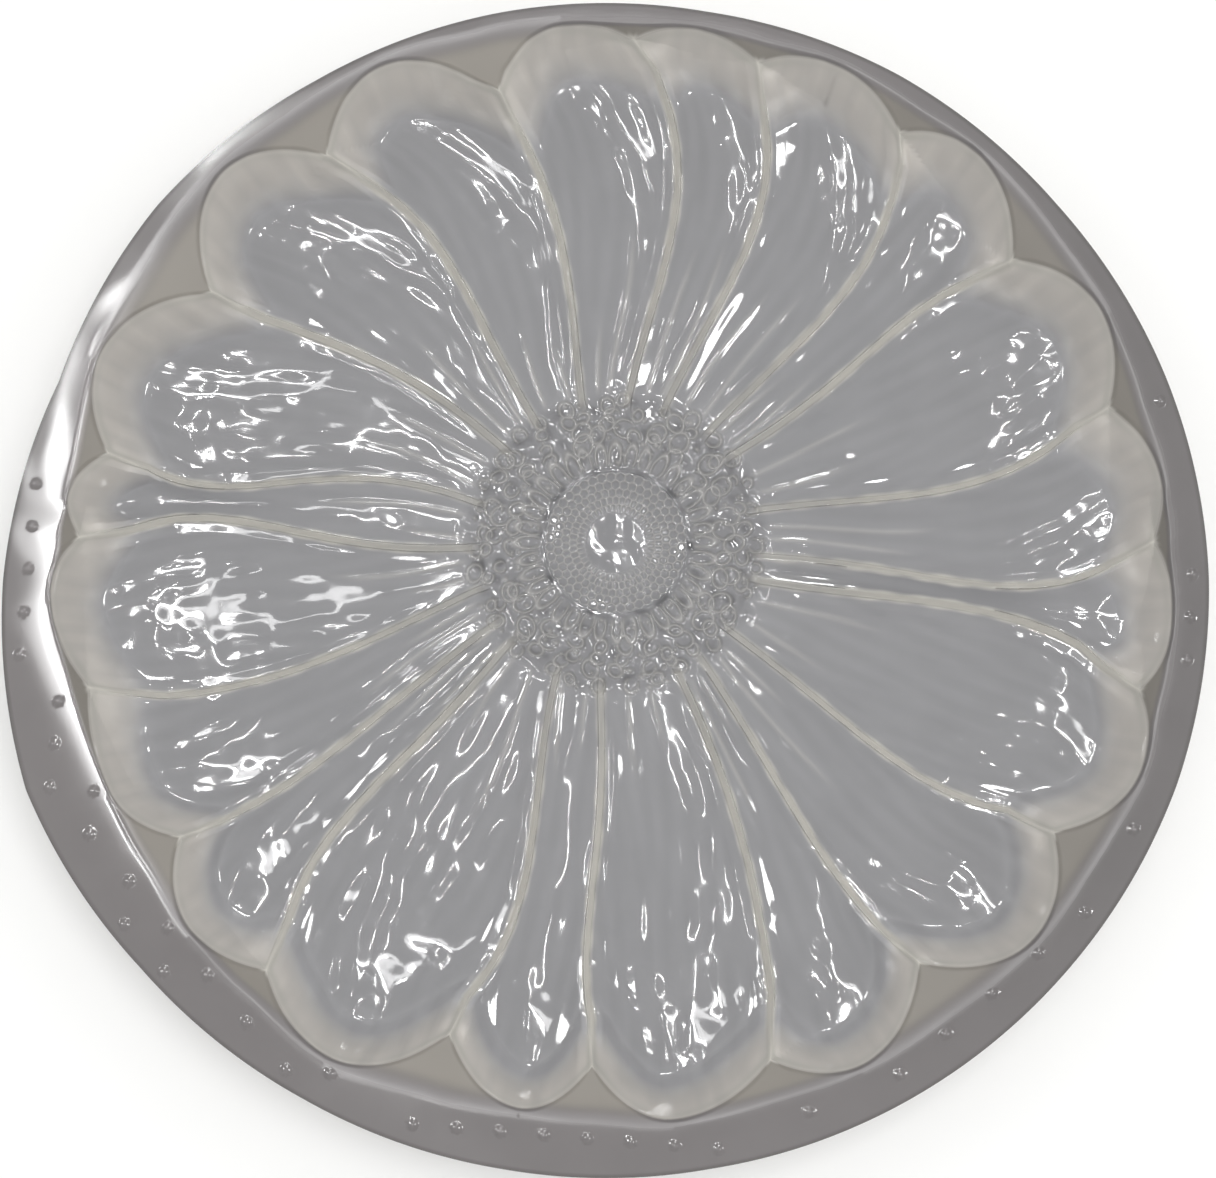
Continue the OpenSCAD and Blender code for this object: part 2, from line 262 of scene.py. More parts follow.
# Rings of florets: radius, how many, half length and half width. The first is a neat ring of fingers
FLORET_RINGS = (
    (26.6, 36, 4.1, 1.75),
    (32.8, 24, 3.0, 2.3),
    (36.6, 26, 2.7, 2.2),
    (40.2, 30, 2.5, 2.0),
    (43.8, 30, 2.3, 1.9),
)
BEADS, BEAD_R = 150, 0.5
# Up to this openness a floret's loop is closed, and above it one end is open. A finger's other end is open
OPEN, FINGER = 0.45, 2.0


def floret_list():
    """Each floret as [x, y, heading, half length, half width, openness, thickness of its wall]."""
    rng = np.random.default_rng(5)
    out = []
    for n, (r, many, long, wide) in enumerate(FLORET_RINGS):
        neat = n == 0
        for m in range(many):
            a = 2 * math.pi * (m + 0.5 * (n % 2) + rng.uniform(-0.3, 0.3) * (0.3 if neat else 1)) / many
            rr = r + rng.uniform(-1.2, 1.2) * (not neat)
            turn = a + (rng.uniform(-0.12, 0.12) if neat else rng.uniform(-1.4, 1.4))
            size = rng.uniform(0.9, 1.1) if neat else rng.uniform(0.7, 1.3)
            gap = FINGER if neat else rng.uniform(0, 1)
            out.append([rr * math.cos(a), rr * math.sin(a), turn, long * size, wide * size, gap, 0.5])
    for _ in range(BEADS):
        a, rr = rng.uniform(0, 2 * math.pi), rng.uniform(24, 46)
        out.append([rr * math.cos(a), rr * math.sin(a), a, BEAD_R, BEAD_R, 0.0, rng.uniform(0.6, 0.9)])
    return out


FLORETS = floret_list()


def florets(x, y):
    """Share of a floret's wall at each point: small loops, fingers and beads in a ring round the button."""
    z = np.zeros_like(x)
    for cx, cy, turn, long, wide, gap, thick in FLORETS:
        near = (np.abs(x - cx) < 7) & (np.abs(y - cy) < 7)
        if not near.any():
            continue
        dx, dy = x[near] - cx, y[near] - cy
        along = dx * math.cos(turn) + dy * math.sin(turn)
        across = dy * math.cos(turn) - dx * math.sin(turn)
        rho = np.sqrt((along / long) ** 2 + (across / wide) ** 2)
        bead = wide == BEAD_R
        ring = np.exp(-(((rho if bead else rho - 1) * wide / thick) ** 2))
        if gap == FINGER:
            ring = ring * (1 - smooth(0.3, 0.95, -along / long))
        elif gap > OPEN:
            ring = ring * smooth(-0.95, -0.3, along / long)
        z[near] = np.maximum(z[near], ring)
    return z


def scales(r, a):
    """Share of a honeycomb wall at each point of the button: six-sided cells in staggered rows."""
    v = (BUTTON_R - 0.6 - r) / SCALE_PITCH
    w = a / 360 * SCALES_ROUND
    best = np.full_like(r, 9.0)
    second = np.full_like(r, 9.0)
    cell_w = r * math.pi * 2 / SCALES_ROUND
    for dv in (-1, 0, 1):
        row = np.floor(v) + dv
        for dw in (-1, 0, 1):
            col = np.floor(w - 0.5 * (row % 2)) + dw
            d = np.hypot((v - row - 0.5) * SCALE_PITCH, (w - col - 0.5 - 0.5 * (row % 2)) * cell_w)
            second = np.where(d < best, best, np.minimum(second, d))
            best = np.minimum(best, d)
    return np.exp(-(((second - best) / 0.6) ** 2)) * smooth(8.5, 12, r) * (1 - smooth(21, 22, r))


def button(r, a):
    """Height of the centre button: a shallow bowl with a honeycomb of small scales round its edge."""
    bowl = -BUTTON_DEPTH + (BUTTON_DEPTH - ROOT_DEPTH) * (r / BUTTON_R) ** 4
    return bowl + SCALE_H * scales(r, a)


def pimple_places():
    """Vacuum-hole marks that fall on the flange, clear of the mouth and of the trimmed edge."""
    out = []
    c, s = math.cos(math.radians(HOLE_TURN)), math.sin(math.radians(HOLE_TURN))
    for m in range(-14, 15):
        for n in range(-14, 15):
            u, v = m * HOLE_PITCH + HOLE_ORIGIN[0], n * HOLE_PITCH + HOLE_ORIGIN[1]
            p = np.array([u * c - v * s, u * s + v * c])
            q = p - FLOWER
            r, a = np.hypot(*q), math.degrees(math.atan2(q[1], q[0])) % 360
            k, share, _, _ = locate(np.array([r]), np.array([a]))
            mouth = outline(k, share)[3][0]
            trim = trim_radius(math.degrees(math.atan2(p[1], p[0])))
            if np.hypot(*p) < trim - PIMPLE_TO_TRIM and r > mouth + PIMPLE_TO_MOUTH:
                out.append(p)
    return out


def trim_radius(a):
    """Distance from the origin to the hand-cut edge at angle a."""
    s = np.asarray(a) % 360 / TRIM_STEP
    n = np.floor(s).astype(int)
    t = np.array(TRIM_R)
    return lerp(t[n % len(t)], t[(n + 1) % len(t)], s - n)


PIMPLES = pimple_places()


def pimples(x, y):
    """Height of the vacuum-hole marks."""
    z = np.zeros_like(x)
    for p in PIMPLES:
        near = (np.abs(x - p[0]) < 3) & (np.abs(y - p[1]) < 3)
        if near.any():
            rho = np.hypot(x[near] - p[0], y[near] - p[1]) / PIMPLE_R
            z[near] += PIMPLE_H * np.clip(1 - rho**2, 0, 1) ** 1.3
    return z


def left_side(a):
    """Share of the flange's curl at each angle round the flower: all of it on the left, none elsewhere."""
    return smooth(0.74, 0.92, -np.cos(np.radians(a - 5)))


def petal_floors(x, y, s, foot):
    """Height of the floors of the petals, the floret ring and the button."""
    r, quick = s["r"], s["quick"]
    f = np.clip((r - ROOT_R) / (foot - ROOT_R), 0, 1)
    mean = -lerp(ROOT_DEPTH, TIP_DEPTH, f) - BELLY * np.sin(math.pi * f * f)
    fade = 0.6 * smooth(40.5, 44, r) + 0.4 * np.clip(4 * f, 0, 1)
    place = s["k"], s["u"], s["near"], s["far"]
    z = np.where(r < ROOT_R, -ROOT_DEPTH, mean + petal_relief(*place, r))
    z = z + fade * petal_step(*place) - FLORET_H * s["loops"]
    z += (0.10 * ripple(x, y, SLOW) + lerp(0.03, 0.055, smooth(80, 140, r)) * quick) * smooth(46, 62, r)
    z += BUMP_H * s["bumps"] * (1 - smooth(43, 52, r)) * smooth(22, 24, r)
    return np.where(r < BUTTON_R, button(r, s["a"]) + 0.05 * quick + 0.05 * s["bumps"], z)


def surface(x, y):
    """Everything about the sheet's upper face at points x, y in mm: its height and what is there."""
    fx, fy = x - FLOWER[0], y - FLOWER[1]
    r = np.hypot(fx, fy)
    a = np.degrees(np.arctan2(fy, fx)) % 360
    k, u, near, far = locate(r, a)
    foot, notch, crown, mouth = outline(k, u)
    one = np.ones_like(r)
    wall = (r - foot) / (crown - foot)
    rise = -soft_min(-soft_min(wall, one, TOP_ROUND), np.zeros_like(r), FOOT_ROUND)
    web = soft_min(np.clip((r - notch) / (mouth - notch), 0, 2), one, WEB_ROUND)
    s = {
        "r": r, "a": a, "k": k, "u": u, "near": near, "far": far,
        "wall": wall, "rise": rise, "web": web, "out": r - mouth,
        "loops": florets(fx, fy), "quick": ripple(x, y, QUICK), "bumps": ripple(x, y, BUMPS),
    }
    top = -NOTCH_DEPTH * (1 - web) + 0.45 * ripple(x, y, SLOW) * (1 - web)
    flat = smooth(0.97, 1.0, rise) * smooth(0.9, 1.0, web)
    curl = -0.5 * CURL * CURL_SLOPE * (1 - np.clip((r - mouth) / CURL, 0, 1)) ** 2 * flat * left_side(a)
    uneven = 4 * rise * (1 - rise) * s["quick"]
    z = lerp(petal_floors(x, y, s, foot), top, rise) + uneven + curl
    s["z"] = z + pimples(x, y) * flat + 0.03 * ripple(x, y, SLOW) * flat
    return s


def upper_z(x, y):
    """Height of the upper face."""
    return surface(x, y)["z"]


def lower_z(x, y):
    """Height of the under side: further below the upper face on the wall, and never below the table."""
    s = surface(x, y)
    steep = smooth(0.0, 0.25, s["rise"]) * (1 - smooth(0.8, 1.0, s["rise"]))
    return np.maximum(s["z"] - SHEET_T * (1 + 1.3 * steep), -RIM_Z)


def normals(fn, x, y, sign):
    """Directions square to the face whose height fn gives, up for sign 1 and down for sign -1."""
    e = 0.04
    zx = (fn(x + e, y) - fn(x - e, y)) / (2 * e)
    zy = (fn(x, y + e) - fn(x, y - e)) / (2 * e)
    n = np.stack([-zx, -zy, np.ones_like(zx)], -1) * sign
    return n / np.linalg.norm(n, axis=-1, keepdims=True)


# ---------------------------------------------------------------- sampling grids, in mm on the sheet
# Fine grids and coarse grids: how far from each seam the nodes beside it lie, and how many lie between them
SEAM_NODES = {True: [0, 0.22, 0.45, 0.68, 0.9, 1.4, 2.1], False: [0, 0.45, 0.9, 2.1]}
INNER_NODES = {True: 28, False: 12}


def flower_rings(inner, outer, rows, fine):
    """Rings between two radii that may change round the flower, as x and y arrays of shape (rings, nodes)."""
    per = 2 * len(SEAM_NODES[fine]) + INNER_NODES[fine] - 1
    a = ring_follow(np.full(per * COUNT, SEAM_R[3]), fine)
    k, u, _, _ = locate(np.full(a.shape, SEAM_R[3]), a % 360)
    r = lerp(inner(k, u), outer(k, u), np.array(rows)[:, None])
    a = np.radians([ring_follow(q, fine) for q in r])
    return FLOWER[0] + r * np.cos(a), FLOWER[1] + r * np.sin(a)


def steady(r):
    """The same radius all round."""
    return lambda k, u: np.full(k.shape, float(r))


def ring_follow(r, fine):
    """Angles of the nodes round one ring, in degrees, close together beside the seams."""
    s = seam_angles(r)
    s = np.concatenate([s, s[:1] + 360])
    per = len(r) // COUNT
    k = np.repeat(np.arange(COUNT), per)
    m = np.tile(np.arange(per), COUNT)
    left = np.take_along_axis(s, k[None], 0)[0]
    right = np.take_along_axis(s, k[None] + 1, 0)[0]
    arc = r * math.pi / 180
    width = (right - left) * arc
    edge = np.array(SEAM_NODES[fine])
    squeeze = np.minimum(1, width / 9)
    last = len(edge) - 1
    inner = INNER_NODES[fine]
    place = np.where(
        m <= last,
        edge[np.minimum(m, last)] * squeeze,
        np.where(
            m <= last + inner,
            lerp(edge[-1] * squeeze, width - edge[-1] * squeeze, (m - last) / (inner + 1)),
            width - edge[np.clip(per - m, 0, last)] * squeeze,
        ),
    )
    return left + place / arc


def trim_xy(x, y):
    """Where the lines from the origin through points x, y meet the hand-cut edge."""
    a = np.degrees(np.arctan2(y, x))
    r = trim_radius(a)
    return r * np.cos(np.radians(a)), r * np.sin(np.radians(a))


MOUTH_OUT = 1.2


def rim_grid(rows):
    """Rings from just outside the mouth to the trimmed edge, with twice the nodes of the mouth ring."""
    x, y = (q[0] for q in flower_rings(steady(150), lip, [1.0], True))
    parts = np.array([0, 0.5])
    x0 = (x[:, None] + (np.roll(x, -1) - x)[:, None] * parts).ravel()
    y0 = (y[:, None] + (np.roll(y, -1) - y)[:, None] * parts).ravel()
    x1, y1 = trim_xy(x0, y0)
    t = np.array(rows)[:, None]
    return lerp(x0, x1, t), lerp(y0, y1, t)


def polar_grid(radii, count):
    """Plain rings round the middle of the flower."""
    a = np.linspace(0, 2 * math.pi, count, endpoint=False)
    r = np.array(radii)[:, None]
    return FLOWER[0] + r * np.cos(a), FLOWER[1] + r * np.sin(a)


# ---------------------------------------------------------------- tint, from what each place on the sheet is, with painted light and shade
def rgb(*c):
    """Linear colour from screen values up to 255."""
    c = np.array(c, float) / 255
    return np.where(c <= 0.04045, c / 12.92, ((c + 0.055) / 1.055) ** 2.4)


PETAL_TINT = rgb(152, 152, 154)
DEEP_TINT = rgb(138, 138, 140)
# Cream painted light, for the wall and for the fold on the left
PAINTED_CREAM_LIGHT = rgb(220, 215, 208)
WEB_TINT = rgb(146, 141, 133)
FLANGE_TINT = rgb(121, 117, 117)
# Pale painted light along the seams and the top of the wall
PAINTED_SEAM_LIGHT = rgb(204, 201, 193)
# Painted shade in the pits of the florets and in the gap round the button
PAINTED_SHADE = rgb(70, 70, 72)
# Pale painted light on the floret loops, the honeycomb walls and the veins
PAINTED_RIDGE_LIGHT = rgb(200, 198, 193)
# Painted shade on the cut edge of the sheet
PAINTED_EDGE_SHADE = rgb(92, 88, 87)


def mix(base, colour, w):
    return base + (colour - base) * w[..., None]


def gain(c, w):
    """Colours made brighter by the share w."""
    return c * (1 + w)[..., None]


def petal_tint(s, streak):
    """Floors of the petals, darker where they are narrow and in faint streaks along them."""
    r = s["r"]
    narrow = 1 - smooth(6, 16, s["near"] + s["far"])
    dark = 0.8 * narrow * smooth(46, 56, r) + 0.32 * streak * smooth(44, 52, r)
    return mix(np.broadcast_to(PETAL_TINT, r.shape + (3,)), DEEP_TINT, np.clip(dark, 0, 1))


def middle_tint_light_and_shade(c, s):
    """Florets and button: painted shade in the pits, pale painted light on the loops and scales, and a broken
    line of painted shadow between the two.
    """
    r = s["r"]
    core = 1 - smooth(42, 48, r)
    c = mix(c, DEEP_TINT, 0.9 * core)
    # painted shade in the low pits between the florets
    c = mix(c, PAINTED_SHADE, 0.4 * (core * (r > BUTTON_R)) * (1 - s["loops"]) * smooth(0.1, 1.5, -s["bumps"]))
    # pale painted light on the floret loops and the honeycomb walls
    c = mix(c, PAINTED_RIDGE_LIGHT, 0.45 * s["loops"] * (r > BUTTON_R))
    c = mix(c, PAINTED_RIDGE_LIGHT, 0.45 * scales(r, s["a"]) * (r < BUTTON_R))
    # a broken line of painted shadow in the gap between the button and the florets
    wander = np.sin(np.radians(7 * s["a"]) + 2 + np.sin(np.radians(3 * s["a"])))
    line = 0.25 + 0.75 * smooth(0.8, 0.98, wander)
    return mix(c, PAINTED_SHADE, 0.7 * line * bell(r, 22.9, 1.1))


def wall_painted_light(c, s, streak):
    """The wall: cream painted light, a narrower band at the front, and more painted light at its foot where
    shade falls.
    """
    wall = s["wall"]
    low = smooth(0.1, 0.9, -np.sin(np.radians(s["a"])))
    # cream painted light over the wall
    c = mix(c, PAINTED_CREAM_LIGHT, smooth(-0.6 + 0.5 * low, 0.75, wall) * (0.86 + 0.14 * streak))
    # painted light at the wall's foot, where shade falls
    c = gain(c, 0.2 * bell(wall, -0.2, 0.45))
    # more painted light at the foot on the front
    return gain(c, 0.2 * low * bell(wall, 0.1, 0.3))


def seam_tint_and_light(c, s, outside):
    """Olive webs outside the petals, and pale painted light along the seams and round the petals' tips."""
    r, side = s["r"], np.minimum(s["near"], s["far"])
    g = np.moveaxis(GROOVES[s["k"]], -1, 0)
    jitter = 0.18 * np.sin(r / 1.7 + 6 * g[3]) + 0.16 * np.sin(r / 4.1 + 6 * g[2])
    # painted light along the seams
    seam = np.exp(-(((side + jitter) / 1.45) ** 4)) * (1 - smooth(0.97, 1, s["rise"]))
    seam = seam * smooth(40, 47, r) * lerp(0.6, 1, smooth(50, 90, r))
    # painted light along the top of the wall
    crown = bell(s["wall"], 0.9, 0.08) * (0.5 + 0.5 * (1 - smooth(0.0, 0.8, s["web"])))
    c = mix(c, WEB_TINT, outside)
    c = mix(c, PAINTED_SEAM_LIGHT, np.clip(seam + crown, 0, 1))
    # more painted light on the middle of each seam
    return gain(c, 0.22 * seam * bell(side, 0, 0.5))


def flange_tint_and_light(c, s, outside, rim):
    """The flange, with a painted highlight on the fold on the left, painted shade on the right and at its cut
    edge, rim mm away.
    """
    c = mix(c, FLANGE_TINT, outside * smooth(0.72, 0.98, s["web"]))
    # painted highlight on the fold on the left, beside the flange's reflection of the lamp
    c = mix(c, PAINTED_CREAM_LIGHT, 0.25 * (bell(s["web"], 0.9, 0.06) * outside) * left_side(s["a"]))
    # painted shade: the flange darker on the right
    c = gain(c, -0.18 * outside * smooth(0.2, 1, np.cos(np.radians(s["a"]))))
    # painted shade along the cut edge
    return mix(c, PAINTED_EDGE_SHADE, 0.7 * (1 - smooth(0.5, 1.5, rim)))


def dullness(s, outside):
    """Share of the roughness at each point: low inside the petals, high on the webs and in the fold."""
    share = lerp(0.35, lerp(3.5, 0.6, smooth(0.85, 1.0, s["web"])), outside)
    fold = 1.3 * outside * (1 - smooth(0.5, 4.5, s["out"])) * smooth(-6, -1, s["out"])
    return share + fold * (1 - left_side(s["a"]))


def tint(x, y):
    """Colour of the plastic, blue-grey on the floors, cream painted light on the wall, seams and ridges,
    painted shade in the pits and at the cut edge, and its dullness.
    """
    s = surface(x, y)
    across = s["near"] + s["far"]
    streak = np.clip(0.5 + 0.3 * drawn(s["k"], 1.6 * (s["u"] - 0.5) * across, 0.6 * s["r"]), 0, 1)
    outside = smooth(0.95, 1.04, s["wall"])
    rim = trim_radius(np.degrees(np.arctan2(y, x))) - np.hypot(x, y)
    c = middle_tint_light_and_shade(petal_tint(s, streak), s)
    # pale painted light on the veins
    c = mix(c, PAINTED_RIDGE_LIGHT, 0.35 * veins(s["k"], s["u"], s["near"], s["far"], s["r"]))
    c = wall_painted_light(c, s, streak)
    c = seam_tint_and_light(c, s, outside)
    c = flange_tint_and_light(c, s, outside, rim)
    return np.concatenate([c, dullness(s, outside)[..., None]], -1)


# ---------------------------------------------------------------- meshes
def grid_faces(rows, cols, start, flip):
    """Quads between the rings of a grid that closes on itself, whose first vertex has the number start."""
    i = np.arange(cols)
    j = (i + 1) % cols
    out = []
    for g in range(rows - 1):
        a, b = start + g * cols, start + (g + 1) * cols
        q = [a + i, b + i, b + j, a + j] if not flip else [a + j, b + j, b + i, a + i]
        out.append(np.stack(q, 1))
    return np.concatenate(out)


def sheet_piece(name, upper, lower, mat, cap=False):
    """One piece of the sheet from its two sampling grids. With cap, both close at the flower's middle."""
    xs, ns, cs, quads, tris, start = [], [], [], [], [], 0
    for (x, y), fn, sign in ((upper, upper_z, 1), (lower, lower_z, -1)):
        z = fn(x, y)
        n = normals(fn, x, y, sign)
        xs.append(np.stack([x, y, z + RIM_Z], -1).reshape(-1, 3) * MM)
        ns.append(n.reshape(-1, 3))
        cs.append(tint(x, y).reshape(-1, 4))
        quads.append(grid_faces(x.shape[0], x.shape[1], start, sign < 0))
        if cap:
            i = np.arange(x.shape[1])
            mx, my = FLOWER[:1], FLOWER[1:]
            xs.append(np.stack([mx, my, fn(mx, my) + RIM_Z], -1) * MM)
            ns.append(normals(fn, mx, my, sign))
            cs.append(tint(mx, my))
            c = start + x.size
            ring = [np.full_like(i, c), start + i, start + (i + 1) % len(i)]
            tris.append(np.stack(ring if sign > 0 else ring[::-1], 1))
            start += 1
        start += x.size
    return make_mesh(name, np.concatenate(xs), quads, tris, np.concatenate(ns), np.concatenate(cs), mat)


def make_mesh(name, verts, quads, tris, norms, cols, mat):
    """Mesh object from its vertices in metres, its faces, and a normal and a tint for each vertex."""
    me = bpy.data.meshes.new(name)
    me.from_pydata(verts.tolist(), [], [f for block in quads + tris for f in block.tolist()])
    me.polygons.foreach_set("use_smooth", [True] * len(me.polygons))
    layer = me.color_attributes.new("sheet_tint", "FLOAT_COLOR", "POINT")
    layer.data.foreach_set("color", cols.astype(np.float32).ravel())
    me.normals_split_custom_set_from_vertices(norms.tolist())
    me.update()
    ob = bpy.data.objects.new(name, me)
    bpy.context.collection.objects.link(ob)
    me.materials.append(mat)
    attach(ob, "root")
    return ob


# ---------------------------------------------------------------- materials
def new_material(name):
    m = bpy.data.materials.new(name)
    m.use_nodes = True
    nt = m.node_tree
    return m, nt, nt.nodes["Principled BSDF"]


def map_range(nt, value, lo, hi):
    """Node output that runs from lo to hi as value runs from 0 to 1."""
    node = nt.nodes.new("ShaderNodeMapRange")
    node.inputs["To Min"].default_value = lo
    node.inputs["To Max"].default_value = hi
    nt.links.new(value, node.inputs["Value"])
    return node.outputs["Result"]


def haze_noise(nt):
    """Fine cloudy noise over the sheet."""
    coord = nt.nodes.new("ShaderNodeTexCoord")
    haze = nt.nodes.new("ShaderNodeTexNoise")
    haze.inputs["Scale"].default_value = 60
    haze.inputs["Detail"].default_value = 4
    nt.links.new(coord.outputs["Object"], haze.inputs["Vector"])
    return haze.outputs["Fac"]


def plastic_material():
    """Glossy see-through plastic, with its tint and its dullness from sheet_tint and a faint haze in both."""
    m, nt, p = new_material("clear_plastic_sheet")
    col = nt.nodes.new("ShaderNodeVertexColor")
    col.layer_name = "sheet_tint"
    haze = haze_noise(nt)
    mul = nt.nodes.new("ShaderNodeVectorMath")
    mul.operation = "SCALE"
    nt.links.new(col.outputs["Color"], mul.inputs[0])
    nt.links.new(map_range(nt, haze, 0.93, 1.07), mul.inputs["Scale"])
    nt.links.new(mul.outputs["Vector"], p.inputs["Base Color"])
    worn = nt.nodes.new("ShaderNodeMath")
    worn.operation = "MULTIPLY"
    nt.links.new(map_range(nt, haze, 0.13, 0.23), worn.inputs[0])
    nt.links.new(col.outputs["Alpha"], worn.inputs[1])
    nt.links.new(worn.outputs["Value"], p.inputs["Roughness"])
    p.inputs["IOR"].default_value = 1.55
    p.inputs["Alpha"].default_value = 0.82
    return m


def floor_material():
    """Matte, nearly white."""
    m, _, p = new_material("pale_floor")
    p.inputs["Base Color"].default_value = (0.93, 0.93, 0.92, 1)
    p.inputs["Roughness"].default_value = 0.9
    return m


# ---------------------------------------------------------------- pieces
FLOOR_HALF = 6.0


def shoulder(k, u):
    """Ring where the petals' floors hand over to the wall, inside the soft foot of the wall."""
    return outline(k, u)[0] - 5.0


def crown_ring(k, u):
    """Top of the wall."""
    return outline(k, u)[2]


def lip(k, u):
    """Ring where the wall and its webs hand over to the flange."""
    return outline(k, u)[3] + MOUTH_OUT


def wall_grid(rows_up, rows_out):
    """Rings up the wall to its top, then out across the webs to the flange."""
    x0, y0 = flower_rings(shoulder, crown_ring, rows_up, True)
    x1, y1 = flower_rings(crown_ring, lip, rows_out[1:], True)
    return np.concatenate([x0, x1]), np.concatenate([y0, y1])


def make_button(mat):
    """The bowl at the centre with its honeycomb."""
    upper = polar_grid(np.linspace(0.3, BUTTON_R, 90), 520)
    lower = polar_grid(np.linspace(0.3, BUTTON_R, 24), 120)
    return sheet_piece("centre_button_sheet", upper, lower, mat, cap=True)


def make_ring(mat):
    """The ring of florets."""
    upper = flower_rings(steady(BUTTON_R), steady(ROOT_R), np.linspace(0, 1, 100), True)
    lower = flower_rings(steady(BUTTON_R), steady(ROOT_R), np.linspace(0, 1, 36), False)
    return sheet_piece("floret_ring_sheet", upper, lower, mat)


def make_petals(mat):
    """The floors of the petals with their seams."""
    upper = flower_rings(steady(ROOT_R), shoulder, np.linspace(0, 1, 120) ** 1.15, True)
    lower = flower_rings(steady(ROOT_R), shoulder, np.linspace(0, 1, 46), False)
    return sheet_piece("petal_floor_sheet", upper, lower, mat)


def make_wall(mat):
    """The wall round the petal tips and the webs in the notches."""
    upper = wall_grid(1 - (1 - np.linspace(0, 1, 44)) ** 1.3, np.linspace(0, 1, 20) ** 1.4)
    lower = wall_grid(np.linspace(0, 1, 34), np.linspace(0, 1, 9))
    return sheet_piece("side_wall_sheet", upper, lower, mat)


def cut_edge(top, low, x, y):
    """Vertices, normals and painted shade of the hand-cut edge, from the last rings of the two faces."""
    out = np.stack([x, y, np.zeros_like(x)], -1)
    out /= np.linalg.norm(out, axis=1, keepdims=True)
    # the cut edge gets the painted shade colour
    tints = np.tile(np.append(PAINTED_EDGE_SHADE, 1.0), (2 * len(x), 1))
    return np.concatenate([top, low]), np.concatenate([out, out]), tints


def make_rim(mat):
    """The flange: both faces and the hand-cut edge between them."""
    x, y = rim_grid(list(np.linspace(0, 0.985, 30)) + [1.0])
    xl, yl = rim_grid([0, 0.5, 1.0])
    z = upper_z(x, y)
    z[-1] -= CUT_DROP
    cols = x.shape[1]
    top = np.stack([x, y, z + RIM_Z], -1).reshape(-1, 3)
    low = np.stack([xl, yl, np.full_like(xl, RIM_Z - SHEET_T)], -1).reshape(-1, 3)
    side, n_side, c_side = cut_edge(top[-cols:], low[-cols:], x[-1], y[-1])
    faces = [
        grid_faces(x.shape[0], cols, 0, False),
        grid_faces(xl.shape[0], cols, len(top), True),
        grid_faces(2, cols, len(top) + len(low), False),
    ]
    n_top = normals(upper_z, x, y, 1).reshape(-1, 3)
    n_low = np.tile([0.0, 0.0, -1.0], (len(low), 1))
    verts = np.concatenate([top, low, side]) * MM
    norms = np.concatenate([n_top, n_low, n_side])
    tints = np.concatenate([tint(x, y).reshape(-1, 4), tint(xl, yl).reshape(-1, 4), c_side])
    return make_mesh("rim_flange_sheet", verts, faces, [], norms, tints, mat)


def build_sheet(mat):
    """The five regions of the sheet, each in place of its CAD node."""
    button_piece = make_button(mat)
    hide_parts("centre_button")
    ring = make_ring(mat)
    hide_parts("floret_ring")
    petal = make_petals(mat)
    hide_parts("petal_floor")
    wall = make_wall(mat)
    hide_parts("side_wall")
    rim = make_rim(mat)
    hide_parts("rim_flange")


def build_floor():
    """The pale floor that the mould stands on."""
    me = bpy.data.meshes.new("studio_floor")
    s = FLOOR_HALF
    me.from_pydata([(-s, -s, 0), (s, -s, 0), (s, s, 0), (-s, s, 0)], [], [(0, 1, 2, 3)])
    ob = bpy.data.objects.new("studio_floor", me)
    bpy.context.collection.objects.link(ob)
    me.materials.append(floor_material())


# ---------------------------------------------------------------- light and camera, in metres
def area_light(name, at, aim, size, power, seen_in_gloss):
    """A rectangular lamp that either fills the scene softly or is seen only as a reflection."""
    d = bpy.data.lights.new(name, "AREA")
    d.shape = "RECTANGLE"
    d.size, d.size_y = size
    d.energy = power
    ob = bpy.data.objects.new(name, d)
    bpy.context.collection.objects.link(ob)
    ob.location = at
    ob.rotation_euler = (Vector(aim) - Vector(at)).to_track_quat("-Z", "Y").to_euler()
    ob.visible_glossy = seen_in_gloss
    ob.visible_diffuse = not seen_in_gloss


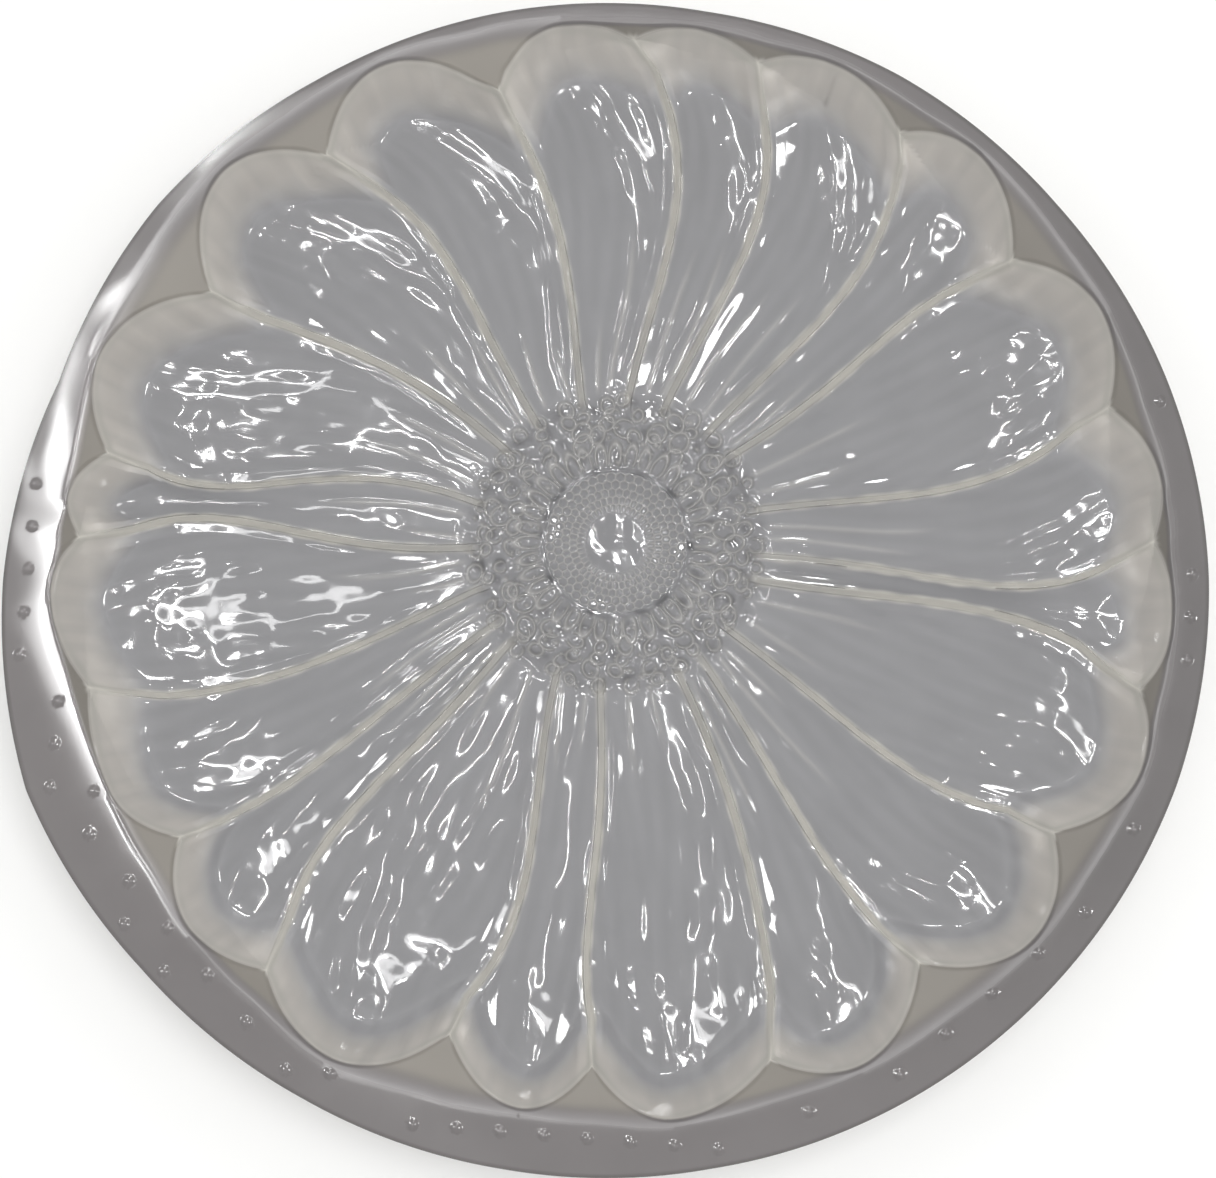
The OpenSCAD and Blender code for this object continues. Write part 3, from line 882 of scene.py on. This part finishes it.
# Each lamp seen as a reflection: where a flat sheet would show it, how large it would look there, both in mm,
# and how bright it is
GLINTS = [
    ("window_left", -80, -5, 20, 170, 13),
    ("window_far_left", -430, 110, 110, 150, 36),
    ("window_far_top", 90, 430, 120, 100, 36),
    ("window_far_right", 400, -60, 100, 140, 35),
    ("lamp_left", -55, 0, 10, 130, 75),
    ("lamp_over", -20, 25, 4, 26, 140),
    ("lamp_upper_left", -98, 105, 3, 90, 150),
    ("lamp_top", -8, 112, 3, 76, 150),
    ("lamp_bottom", -35, -104, 3, 72, 150),
    ("lamp_right", 70, 10, 3, 24, 150),
]
LAMP_Z = 1.54
WORLD_LIGHT = 0.74
# The camera's distance in widths of the part, its tilt, the frame's width over the part's, and its aim
CAMERA_AWAY, CAMERA_TILT, FRAME_SHARE, CAMERA_AIM = 2.08, 4.5, 1.0075, (0.0006, -0.00275)
SENSOR = 36


def build_lights(eye):
    """A soft key that gives no highlights, the lamps seen only in the gloss, and a plain white world."""
    area_light("soft_key", at=(0.25, 0.1, 2.2), aim=(0, 0, 0), size=(1.2, 1.2), power=22, seen_in_gloss=False)
    near = (eye[2] - RIM_Z * MM) / (eye[2] + LAMP_Z - 2 * RIM_Z * MM)
    for name, x, y, w, h, glow in GLINTS:
        at = eye[:2] + (np.array([x, y]) * MM - eye[:2]) / near
        size = w * MM / near, h * MM / near
        area_light(name, (at[0], at[1], LAMP_Z), (0, 0, 0), size, glow * math.pi * size[0] * size[1], True)
    w = bpy.data.worlds.new("studio")
    bpy.context.scene.world = w
    w.use_nodes = True
    bg = w.node_tree.nodes["Background"]
    bg.inputs["Color"].default_value = (1, 1, 1, 1)
    bg.inputs["Strength"].default_value = WORLD_LIGHT


def build_camera():
    """The camera at the photograph's angle; returns where it stands."""
    lo, hi = CAD_BOX
    width = hi[0] - lo[0]
    d = CAMERA_AWAY * width
    tilt = math.radians(CAMERA_TILT)
    cam = bpy.data.cameras.new("camera")
    cam.sensor_width = SENSOR
    cam.lens = SENSOR * d / (width * FRAME_SHARE)
    cam.clip_end = 20
    ob = bpy.data.objects.new("camera", cam)
    bpy.context.collection.objects.link(ob)
    aim = np.array([*CAMERA_AIM, RIM_Z * MM])
    ob.location = aim + np.array([0, -d * math.sin(tilt), d * math.cos(tilt)])
    ob.rotation_euler = (tilt, 0, 0)
    bpy.context.scene.camera = ob
    return np.array(ob.location)


bpy.context.scene.view_settings.view_transform = "Standard"
build_sheet(plastic_material())
build_floor()
build_lights(build_camera())
